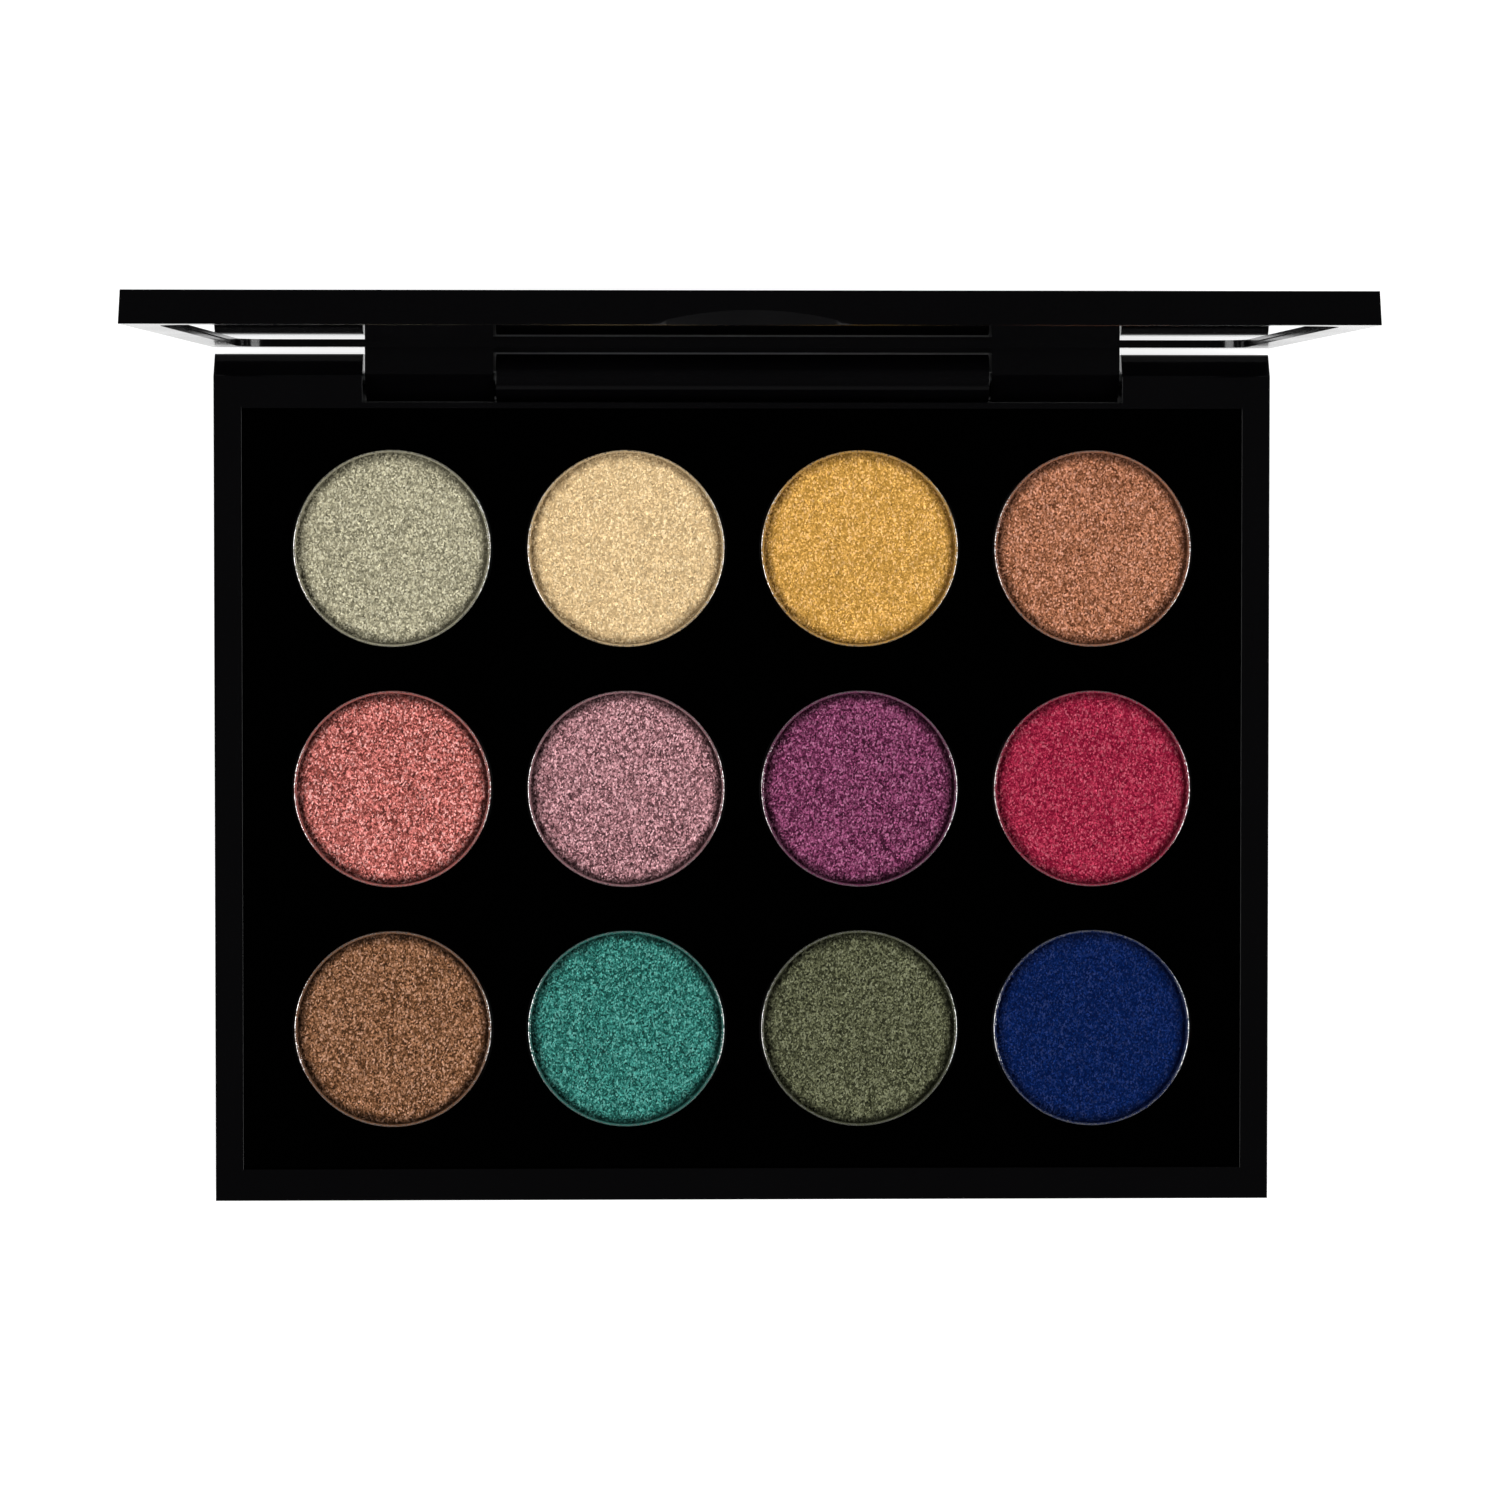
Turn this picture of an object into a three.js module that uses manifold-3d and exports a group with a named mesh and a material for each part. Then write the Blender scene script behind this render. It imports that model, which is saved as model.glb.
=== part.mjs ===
// Eyeshadow palette: a shallow moulded base with twelve pressed powders in round metal pans,
// and a flat lid with a mirror, hinged along the rear edge. Millimetres, +Z up.
// The origin is the centre of the base's flat underside, +X runs along the hinge, +Y points to
// the hinge side. The model stands with its lid open at a right angle.

import * as THREE from 'three';
import { mergeVertices } from 'three/addons/utils/BufferGeometryUtils.js';
import Module from 'manifold-3d';

const wasm = await Module();
wasm.setup();

// Driving dimensions
const WIDTH = 140;            // base and lid, along the hinge
const DEPTH = 112.5;          // base, front to rear
const BASE_HEIGHT = 9;        // table to the top of the rim
const FLOOR = 1.5;            // thickness of the base's floor
const SIDE_RIM = 3.8;         // width of the base's rim at the sides
const FRONT_RIM = 4.28;       // width of the base's rim at the front
const REAR_STRIP = 0.88;      // the thin rim between the deck and the hinge recess
const EAR_R = 0.6;            // rounding above and below the ears' rear bevels
const EAR_FLAT_Y = 53.1;      // where the ears' flat top ends
const EAR_REAR_Z = 6.6;       // height of the ears' rearmost line
const FIT = 0.1;              // clearance round a part that drops into another
const STACK = 0.05;           // bond line between stacked or seated faces

// Hinge
const AXIS_Y = 53.15;
const AXIS_Z = 5.2;
const KNUCKLE_R = 3.2;        // the base's barrel and the lid's lugs
const RECESS_R = 3.35;        // the cove that the lugs turn in
const RECESS_HALF = 50.35;    // half the length of the recess between the two ears
const LIP_Y = 52.5;           // rear edge of the floor under the hinge
const BARREL_HALF = 32.75;
const LUG_GAP = 0.3;          // end play on each side of a lug
const RIB_START = -1;          // front of the rib that closes the gap over the barrel, lid closed
const LUG_FLAT = 0.4;         // the lug's flat front stops this far above the axis, lid closed
const PIN_R = 0.8;
const PIN_HOLE_R = 0.9;
const PIN_START = 28.1;       // inner end of each pin, inside the barrel
const PIN_END = 69.4;         // outer end, a little below the side face

// Deck with the wells
const DECK_DROP = 0.6;        // deck's face below the rim
const DECK_THICK = 1.2;
const SKIRT = 1.2;            // wall that carries the deck on the floor
const COLUMNS = 4;
const ROWS = 3;
const PITCH_X = 31;
const PITCH_Y = 31.95;
const GRID_Y = -1.5;          // centre of the grid of wells
const WELL_R = 13.2;
const CUP_WALL = 0.8;
const CUP_FLOOR = 1;
const POST_R = 2.5;

// Pans: the trade's 26 mm round tin
const PAN_R = 13.05;
const PAN_WALL = 0.35;
const PAN_HEIGHT = 3.6;
const PAN_PROUD = 0.15;       // the pan's rim above the deck
const POWDER_DROP = 0.55;     // the powder's face below the pan's rim
const DOT_R = 9;
const DOT_THICK = 0.15;

// Magnets
const MAGNET_R = 2;
const MAGNET_THICK = 1.1;
const MAGNET_X = PITCH_X;
const MAGNET_Y = -46.9;
const BOSS_R = 3.4;

// Lid
const LID_THICK = 3.8;
const LID_GAP = 0.1;          // between the rim and the closed lid
const LID_DRAFT = 0.2;        // how much smaller the outer face is, on each free edge
const LID_RIM = 3.8;          // frame round the mirror
const LID_REAR = 2.95;        // from the axis forward to the lid's plain rear edge
const TAB_REAR = DEPTH / 2 - AXIS_Y;
const MIRROR_RECESS = 0.5;
const MIRROR_THICK = 1;
const MIRROR_CORNER = 4;
const TAPE_THICK = 0.2;
const TAPE_MARGIN = 2.5;
const SCOOP_CHORD = 22.7;     // finger scoop in the lid's front edge
const SCOOP_RISE = 1.7;
const SCOOP_DEPTH = 1.6;

const OVERLAP = 1;            // how far joined lid solids run into each other

// Steps round a circle
const ROUND_STEPS = 32;
const SMALL_STEPS = 16;
const TINY_STEPS = 12;
const CORNER_STEPS = 6;

// Heights that follow from the dimensions above
const DECK_TOP = BASE_HEIGHT - DECK_DROP;
const DECK_UNDER = DECK_TOP - DECK_THICK;
const PAN_TOP = DECK_TOP + PAN_PROUD;
const PAN_BOTTOM = PAN_TOP - PAN_HEIGHT;
const POWDER_TOP = PAN_TOP - POWDER_DROP;
const DOT_TOP = PAN_BOTTOM - STACK;
const CUP_TOP = DOT_TOP - DOT_THICK - STACK;
const BOSS_TOP = DECK_UNDER - STACK;
const DECK_FRONT = -DEPTH / 2 + FRONT_RIM;
const RECESS_WALL = AXIS_Y - RECESS_R;
const DECK_REAR = RECESS_WALL - REAR_STRIP;
const DECK_HALF = WIDTH / 2 - SIDE_RIM;
const OVER = 5;               // how far a cutting solid runs past what it cuts

// Lid heights and lengths, measured from the hinge axis with the lid closed
const LID_INNER = BASE_HEIGHT + LID_GAP - AXIS_Z;
const LID_OUTER = LID_INNER + LID_THICK;
const LID_FRONT = -DEPTH / 2 - AXIS_Y;
const MIRROR_FACE = LID_INNER + MIRROR_RECESS;
const TAPE_FACE = MIRROR_FACE + MIRROR_THICK + STACK;
const POCKET_TOP = TAPE_FACE + TAPE_THICK + STACK;
const POCKET_FRONT = LID_FRONT + LID_RIM;
const POCKET_REAR = -LID_REAR - LID_RIM;

// Colours of the pressed powders, row by row from the rear and left to right
const SHADES = [
  ['sage', 0xa8a287], ['champagne', 0xdfc08f], ['gold', 0xd09d50], ['copper', 0xa56b4f],
  ['rose', 0xb36660], ['mauve', 0xa07176], ['plum', 0x753857], ['raspberry', 0x9a2a42],
  ['bronze', 0x835a41], ['teal', 0x33746a], ['olive', 0x545640], ['navy', 0x081f4d],
];

// Materials: every mesh gets its own
const satinBlack = () => new THREE.MeshStandardMaterial({ color: 0x0b0b0c, roughness: 0.38, metalness: 0 });
const deckBlack = () => new THREE.MeshStandardMaterial({ color: 0x040404, roughness: 0.3, metalness: 0 });
const tin = () => new THREE.MeshStandardMaterial({ color: 0xc9c9c6, roughness: 0.25, metalness: 1 });
const steel = () => new THREE.MeshStandardMaterial({ color: 0xb4b6b8, roughness: 0.3, metalness: 1 });
const nickel = () => new THREE.MeshStandardMaterial({ color: 0x9a9b9c, roughness: 0.35, metalness: 1 });
const silvered = () => new THREE.MeshStandardMaterial({ color: 0xf2f4f5, roughness: 0.02, metalness: 1 });
const adhesive = () => new THREE.MeshStandardMaterial({ color: 0xe6dfc8, roughness: 0.6, metalness: 0 });
const foamTape = () => new THREE.MeshStandardMaterial({ color: 0xf0efea, roughness: 0.8, metalness: 0 });
const powder = (color) => new THREE.MeshStandardMaterial({ color, roughness: 0.55, metalness: 0.25 });

// Keeps only positions, joins shared corners and drops the flat slivers that a lathe leaves on its axis.
function closed(geometry) {
  const bare = geometry.clone();
  bare.deleteAttribute('normal');
  bare.deleteAttribute('uv');
  const merged = mergeVertices(bare, 1e-5);
  const kept = [];
  const index = merged.index.array;
  for (let i = 0; i < index.length; i += 3) {
    const [a, b, c] = [index[i], index[i + 1], index[i + 2]];
    if (a !== b && b !== c && c !== a) kept.push(a, b, c);
  }
  merged.setIndex(kept);
  return merged;
}

function toSolid(geometry) {
  const merged = closed(geometry);
  const vertProperties = new Float32Array(merged.attributes.position.array);
  const triVerts = new Uint32Array(merged.index.array);
  return new wasm.Manifold(new wasm.Mesh({ numProp: 3, vertProperties, triVerts }));
}

function toGeometry(solid) {
  const mesh = solid.getMesh();
  const geometry = new THREE.BufferGeometry();
  geometry.setAttribute('position', new THREE.BufferAttribute(new Float32Array(mesh.vertProperties), 3));
  geometry.setIndex(new THREE.BufferAttribute(new Uint32Array(mesh.triVerts), 1));
  geometry.computeVertexNormals();
  return geometry;
}

function part(name, geometry, material) {
  const mesh = new THREE.Mesh(geometry, material);
  mesh.name = name;
  return mesh;
}

// Solids
function block(x0, x1, y0, y1, z0, z1) {
  const box = new THREE.BoxGeometry(x1 - x0, y1 - y0, z1 - z0);
  return toSolid(box.translate((x0 + x1) / 2, (y0 + y1) / 2, (z0 + z1) / 2));
}

// A round solid standing on z0, from a profile of [radius, height] pairs that starts and ends on the axis.
function turnedGeometry(profile, steps) {
  const points = profile.map(([radius, height]) => new THREE.Vector2(radius, height));
  return closed(new THREE.LatheGeometry(points, steps).rotateX(Math.PI / 2));
}

function disc(radius, z0, z1, steps) {
  return turnedGeometry([[0, z0], [radius, z0], [radius, z1], [0, z1]], steps);
}

function standing(radius, x, y, z0, z1, steps) {
  return toSolid(disc(radius, z0, z1, steps).translate(x, y, 0));
}

// A solid with one outline all along X; the outline's own x and y are the part's Y and Z.
function alongX(outline, x0, x1, steps) {
  const turn = new THREE.Matrix4().makeBasis(
    new THREE.Vector3(0, 1, 0), new THREE.Vector3(0, 0, 1), new THREE.Vector3(1, 0, 0));
  const options = { depth: x1 - x0, bevelEnabled: false, curveSegments: steps };
  const long = new THREE.ExtrudeGeometry(outline, options).applyMatrix4(turn);
  return toSolid(long.translate(x0, 0, 0));
}

function roundedPlate(x0, x1, y0, y1, z0, z1, radius) {
  const outline = new THREE.Shape();
  outline.moveTo(x0 + radius, y0);
  outline.lineTo(x1 - radius, y0);
  outline.absarc(x1 - radius, y0 + radius, radius, -Math.PI / 2, 0, false);
  outline.lineTo(x1, y1 - radius);
  outline.absarc(x1 - radius, y1 - radius, radius, 0, Math.PI / 2, false);
  outline.lineTo(x0 + radius, y1);
  outline.absarc(x0 + radius, y1 - radius, radius, Math.PI / 2, Math.PI, false);
  outline.lineTo(x0, y0 + radius);
  outline.absarc(x0 + radius, y0 + radius, radius, Math.PI, 1.5 * Math.PI, false);
  const options = { depth: z1 - z0, bevelEnabled: false, curveSegments: CORNER_STEPS };
  const plate = new THREE.ExtrudeGeometry(outline, options);
  return closed(plate.translate(0, 0, z0));
}

function rod(radius, x0, x1, y, z, steps) {
  return disc(radius, x0, x1, steps).rotateY(Math.PI / 2).translate(0, y, z);
}

// Wells and everything that sits in them: one place per shade
function places() {
  const list = [];
  for (let row = 0; row < ROWS; row += 1) {
    for (let column = 0; column < COLUMNS; column += 1) {
      const [shade, color] = SHADES[row * COLUMNS + column];
      const x = (column - (COLUMNS - 1) / 2) * PITCH_X;
      const y = GRID_Y + ((ROWS - 1) / 2 - row) * PITCH_Y;
      list.push({ shade, color, x, y });
    }
  }
  return list;
}

// Base tray: floor, walls, rounded rear ears, hinge recess with its barrel, posts and magnet bosses
function baseTray() {
  const rearY = DEPTH / 2 - EAR_R;
  const shoulderZ = BASE_HEIGHT - EAR_R;
  const bevelAngle = Math.atan2(rearY - EAR_FLAT_Y, shoulderZ - EAR_REAR_Z);
  const side = new THREE.Shape();
  side.moveTo(-DEPTH / 2, 0);
  side.lineTo(rearY, 0);
  side.absarc(rearY, EAR_R, EAR_R, -Math.PI / 2, 0, false);
  side.absarc(rearY, EAR_REAR_Z, EAR_R, 0, bevelAngle, false);
  side.absarc(EAR_FLAT_Y, shoulderZ, EAR_R, bevelAngle, Math.PI / 2, false);
  side.lineTo(-DEPTH / 2, BASE_HEIGHT);
  let tray = alongX(side, -WIDTH / 2, WIDTH / 2, SMALL_STEPS);

  const cavityHalf = DECK_HALF + FIT;
  const cavityTop = BASE_HEIGHT + OVER;
  tray = tray.subtract(block(-cavityHalf, cavityHalf, DECK_FRONT - FIT, DECK_REAR + FIT, FLOOR, cavityTop));

  const lipAngle = Math.asin((LIP_Y - AXIS_Y) / RECESS_R);
  const recess = new THREE.Shape();
  recess.moveTo(RECESS_WALL, BASE_HEIGHT + OVER);
  recess.lineTo(RECESS_WALL, AXIS_Z);
  recess.absarc(AXIS_Y, AXIS_Z, RECESS_R, Math.PI, 1.5 * Math.PI + lipAngle, false);
  recess.lineTo(LIP_Y, -OVER);
  recess.lineTo(DEPTH / 2 + OVER, -OVER);
  recess.lineTo(DEPTH / 2 + OVER, BASE_HEIGHT + OVER);
  tray = tray.subtract(alongX(recess, -RECESS_HALF, RECESS_HALF, SMALL_STEPS));

  // The barrel is flat at the rear, flush with the ears.
  const flatAngle = Math.acos(TAB_REAR / KNUCKLE_R);
  const barrel = new THREE.Shape();
  barrel.moveTo(RECESS_WALL - SKIRT / 4, 0);
  barrel.lineTo(LIP_Y, 0);
  barrel.absarc(AXIS_Y, AXIS_Z, KNUCKLE_R, -Math.PI / 2, -flatAngle, false);
  barrel.absarc(AXIS_Y, AXIS_Z, KNUCKLE_R, flatAngle, Math.PI, false);
  barrel.lineTo(RECESS_WALL - SKIRT / 4, AXIS_Z);
  tray = tray.add(alongX(barrel, -BARREL_HALF, BARREL_HALF, SMALL_STEPS));

  for (const sign of [-1, 1]) {
    const ends = [sign * (PIN_START - FIT), sign * (WIDTH / 2 + OVER)].sort((a, b) => a - b);
    tray = tray.subtract(toSolid(rod(PIN_HOLE_R, ...ends, AXIS_Y, AXIS_Z, SMALL_STEPS)));
    const x = sign * MAGNET_X;
    tray = tray.add(standing(BOSS_R, x, MAGNET_Y, FLOOR / 2, BOSS_TOP, SMALL_STEPS));
    const seat = BOSS_TOP - MAGNET_THICK - 2 * STACK;
    tray = tray.subtract(standing(MAGNET_R + FIT, x, MAGNET_Y, seat, BOSS_TOP + OVER, SMALL_STEPS));
  }
  for (let row = 0; row < ROWS - 1; row += 1) {
    for (let column = 0; column < COLUMNS - 1; column += 1) {
      const x = (column - (COLUMNS - 2) / 2) * PITCH_X;
      const y = GRID_Y + (row - (ROWS - 2) / 2) * PITCH_Y;
      tray = tray.add(standing(POST_R, x, y, FLOOR / 2, BOSS_TOP, SMALL_STEPS));
    }
  }
  return part('base_tray', toGeometry(tray), satinBlack());
}

// Deck: a plate with a skirt down to the floor and a cup under each well
function panInsert() {
  const bottom = FLOOR + STACK;
  let deck = block(-DECK_HALF, DECK_HALF, DECK_FRONT, DECK_REAR, bottom, DECK_TOP);
  const inner = DECK_HALF - SKIRT;
  const [innerFront, innerRear] = [DECK_FRONT + SKIRT, DECK_REAR - SKIRT];
  deck = deck.subtract(block(-inner, inner, innerFront, innerRear, bottom - OVER, DECK_UNDER));
  const cupBottom = CUP_TOP - CUP_FLOOR;
  const cupLift = (DECK_UNDER + DECK_TOP) / 2;
  for (const { x, y } of places()) {
    deck = deck.add(standing(WELL_R + CUP_WALL, x, y, cupBottom, cupLift, ROUND_STEPS));
  }
  for (const { x, y } of places()) {
    deck = deck.subtract(standing(WELL_R, x, y, CUP_TOP, DECK_TOP + OVER, ROUND_STEPS));
  }
  return part('pan_insert', toGeometry(deck), deckBlack());
}

function pan({ shade, x, y }) {
  const innerR = PAN_R - PAN_WALL;
  const innerFloor = PAN_BOTTOM + PAN_WALL;
  const profile = [
    [0, PAN_BOTTOM], [PAN_R, PAN_BOTTOM], [PAN_R, PAN_TOP],
    [innerR, PAN_TOP], [innerR, innerFloor], [0, innerFloor],
  ];
  const mesh = part(`pan_${shade}`, turnedGeometry(profile, ROUND_STEPS), tin());
  mesh.position.set(x, y, 0);
  return mesh;
}

function shadow({ shade, color, x, y }) {
  const radius = PAN_R - PAN_WALL - STACK;
  const bottom = PAN_BOTTOM + PAN_WALL + STACK;
  const mesh = part(`shadow_${shade}`, disc(radius, bottom, POWDER_TOP, ROUND_STEPS), powder(color));
  mesh.position.set(x, y, 0);
  return mesh;
}

function glueDot({ shade, x, y }) {
  const mesh = part(`adhesive_${shade}`, disc(DOT_R, DOT_TOP - DOT_THICK, DOT_TOP, TINY_STEPS), adhesive());
  mesh.position.set(x, y, 0);
  return mesh;
}

function hingePin(name, sign) {
  const ends = [sign * PIN_START, sign * PIN_END].sort((a, b) => a - b);
  return part(name, rod(PIN_R, ...ends, AXIS_Y, AXIS_Z, SMALL_STEPS), steel());
}

function magnet(name, x, y, z0) {
  const mesh = part(name, disc(MAGNET_R, z0, z0 + MAGNET_THICK, SMALL_STEPS), nickel());
  mesh.position.set(x, y, 0);
  return mesh;
}

// The lid's parts are drawn closed, with the hinge axis at y = 0 and z = 0.
function lidSlab() {
  const length = -LID_REAR - LID_FRONT;
  const slab = new THREE.BoxGeometry(WIDTH, length, LID_THICK);
  slab.translate(0, LID_FRONT + length / 2, LID_INNER + LID_THICK / 2);
  const corners = slab.attributes.position;
  const middle = LID_INNER + LID_THICK / 2;
  for (let i = 0; i < corners.count; i += 1) {
    if (corners.getZ(i) > middle) {
      corners.setX(i, corners.getX(i) - Math.sign(corners.getX(i)) * LID_DRAFT);
      if (corners.getY(i) < -LID_REAR - OVERLAP) corners.setY(i, corners.getY(i) + LID_DRAFT);
    }
  }
  return toSolid(slab);
}

// A shallow cylinder cut that slopes from the front face down to the inner face.
function scoop() {
  const slope = Math.atan2(SCOOP_RISE, SCOOP_DEPTH);
  const frontR = SCOOP_CHORD ** 2 / (8 * SCOOP_RISE) + SCOOP_RISE / 2;
  const radius = frontR / Math.cos(slope);
  const reach = Math.asin((SCOOP_CHORD / 2 + OVERLAP) / radius);
  const outline = new THREE.Shape();
  outline.moveTo(-radius * Math.sin(reach), -OVER);
  outline.lineTo(radius * Math.sin(reach), -OVER);
  outline.absarc(0, -radius, radius, Math.PI / 2 - reach, Math.PI / 2 + reach, false);
  const options = { depth: 2 * OVER, bevelEnabled: false, curveSegments: ROUND_STEPS };
  const cut = new THREE.ExtrudeGeometry(outline, options);
  cut.translate(0, 0, -OVER);
  cut.rotateX(Math.PI / 2 - slope);
  return toSolid(cut.translate(0, LID_FRONT, LID_INNER + SCOOP_RISE));
}

function lidShell() {
  const tabHalf = RECESS_HALF - LUG_GAP;
  let lid = lidSlab();

  const tab = new THREE.Shape();
  tab.moveTo(-LID_REAR - LID_RIM / 2, LID_INNER);
  tab.lineTo(TAB_REAR, LID_INNER);
  tab.absarc(TAB_REAR - LID_THICK, LID_INNER, LID_THICK, 0, Math.PI / 2, false);
  tab.lineTo(-LID_REAR - LID_RIM / 2, LID_OUTER);
  lid = lid.add(alongX(tab, -tabHalf, tabHalf, SMALL_STEPS));

  // Each lug has a flat front, a bevel under it, a round end about the axis and a rear face flush
  // with the base.
  const flatAngle = Math.acos(TAB_REAR / KNUCKLE_R);
  const lug = new THREE.Shape();
  lug.moveTo(-KNUCKLE_R, LID_INNER + LID_THICK / 2);
  lug.lineTo(-KNUCKLE_R, LUG_FLAT);
  lug.absarc(0, 0, KNUCKLE_R, 1.5 * Math.PI, 2 * Math.PI - flatAngle, false);
  lug.lineTo(TAB_REAR, LID_INNER);
  lug.lineTo(TAB_REAR - LID_THICK / 2, LID_INNER + LID_THICK / 2);
  const lugInner = BARREL_HALF + LUG_GAP;
  for (const [x0, x1] of [[-tabHalf, -lugInner], [lugInner, tabHalf]]) {
    lid = lid.add(alongX(lug, x0, x1, SMALL_STEPS));
    lid = lid.subtract(toSolid(rod(PIN_HOLE_R, x0 - OVER, x1 + OVER, 0, 0, SMALL_STEPS)));
  }

  const ribHalf = lugInner + OVERLAP;
  lid = lid.add(block(-ribHalf, ribHalf, RIB_START, TAB_REAR, RECESS_R, LID_INNER + OVERLAP));

  const half = WIDTH / 2 - LID_RIM;
  const below = LID_INNER - OVER;
  const pocket = roundedPlate(-half, half, POCKET_FRONT, POCKET_REAR, below, POCKET_TOP, MIRROR_CORNER);
  lid = lid.subtract(toSolid(pocket));
  const seat = POCKET_TOP + MAGNET_THICK + 2 * STACK;
  for (const sign of [-1, 1]) {
    const y = MAGNET_Y - AXIS_Y;
    lid = lid.subtract(standing(MAGNET_R + FIT, sign * MAGNET_X, y, POCKET_TOP - STACK, seat, SMALL_STEPS));
  }
  lid = lid.subtract(scoop());
  return part('lid_shell', toGeometry(lid), satinBlack());
}

function pocketPlate(name, margin, z0, z1, material) {
  const half = WIDTH / 2 - LID_RIM - margin;
  const radius = Math.max(MIRROR_CORNER - margin, 1);
  const plate = roundedPlate(-half, half, POCKET_FRONT + margin, POCKET_REAR - margin, z0, z1, radius);
  return part(name, plate, material);
}

// The whole palette
const palette = new THREE.Group();
palette.add(baseTray());
palette.add(panInsert());
for (const place of places()) {
  palette.add(pan(place));
  palette.add(shadow(place));
  palette.add(glueDot(place));
}
palette.add(hingePin('hinge_pin_left', -1));
palette.add(hingePin('hinge_pin_right', 1));
const baseMagnetZ = BOSS_TOP - MAGNET_THICK - STACK;
palette.add(magnet('base_magnet_left', -MAGNET_X, MAGNET_Y, baseMagnetZ));
palette.add(magnet('base_magnet_right', MAGNET_X, MAGNET_Y, baseMagnetZ));

const lid = new THREE.Group();
lid.position.set(0, AXIS_Y, AXIS_Z);
lid.rotation.x = -Math.PI / 2;
lid.add(lidShell());
lid.add(pocketPlate('mirror', 2 * FIT, MIRROR_FACE, MIRROR_FACE + MIRROR_THICK, silvered()));
lid.add(pocketPlate('mirror_tape', TAPE_MARGIN, TAPE_FACE, TAPE_FACE + TAPE_THICK, foamTape()));
lid.add(magnet('lid_magnet_left', -MAGNET_X, MAGNET_Y - AXIS_Y, POCKET_TOP + STACK));
lid.add(magnet('lid_magnet_right', MAGNET_X, MAGNET_Y - AXIS_Y, POCKET_TOP + STACK));
palette.add(lid);

export default palette;
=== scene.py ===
import math

import bmesh
import bpy
from mathutils import Matrix, Vector, noise


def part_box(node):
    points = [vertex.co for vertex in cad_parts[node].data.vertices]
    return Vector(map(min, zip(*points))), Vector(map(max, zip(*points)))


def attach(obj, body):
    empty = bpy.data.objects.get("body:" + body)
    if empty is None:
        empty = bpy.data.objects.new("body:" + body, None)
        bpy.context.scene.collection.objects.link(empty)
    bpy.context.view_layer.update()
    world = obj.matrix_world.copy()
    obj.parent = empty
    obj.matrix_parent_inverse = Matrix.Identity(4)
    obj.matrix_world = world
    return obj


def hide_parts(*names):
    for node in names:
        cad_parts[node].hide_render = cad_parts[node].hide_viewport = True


# An eyeshadow palette seen from above with its lid standing open. Metres, in the CAD frame:
# X along the hinge, +Y towards the hinge, +Z up out of the base's underside.

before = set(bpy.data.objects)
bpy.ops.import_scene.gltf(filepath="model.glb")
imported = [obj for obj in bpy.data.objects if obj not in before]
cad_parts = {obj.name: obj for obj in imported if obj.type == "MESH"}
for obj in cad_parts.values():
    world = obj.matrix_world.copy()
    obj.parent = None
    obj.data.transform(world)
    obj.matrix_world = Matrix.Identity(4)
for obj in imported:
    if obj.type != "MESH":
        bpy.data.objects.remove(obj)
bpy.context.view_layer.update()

MM = 0.001
ROUND = 128          # steps round a turned piece
WALL = 0.32 * MM     # thickness of a tin's rim
EDGE = 0.16 * MM     # rounding of the case's moulded edges
MERGE = 0.004 * MM   # vertices of the deck closer than this are one
TINY = 1e-7          # a difference this small, in metres or in a cosine, is none
SHARP_ANGLE = 35     # degrees above which a piece's edge is shaded sharp
ZERO = Vector((0, 0, 0))

# Each shade: its body colour, and how strongly its flakes stand out from it
SHADES = {
    "sage": ((0.3122, 0.2884, 0.1923), 0.95),
    "champagne": ((0.5952, 0.4196, 0.2165), 0.54),
    "gold": ((0.4959, 0.2644, 0.0532), 0.67),
    "copper": ((0.2944, 0.1118, 0.0546), 1.1),
    "rose": ((0.3633, 0.0938, 0.0792), 1.6),
    "mauve": ((0.2742, 0.1267, 0.1397), 1.6),
    "plum": ((0.1366, 0.0255, 0.0721), 1.6),
    "raspberry": ((0.2578, 0.0109, 0.0373), 0.78),
    "bronze": ((0.1753, 0.0773, 0.0346), 1.6),
    "teal": ((0.0208, 0.138, 0.1142), 1.45),
    "olive": ((0.0688, 0.0723, 0.0379), 1.51),
    "navy": ((0.0003, 0.0086, 0.0613), 0.66),
}


# ---------------------------------------------------------------- node helpers

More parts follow.
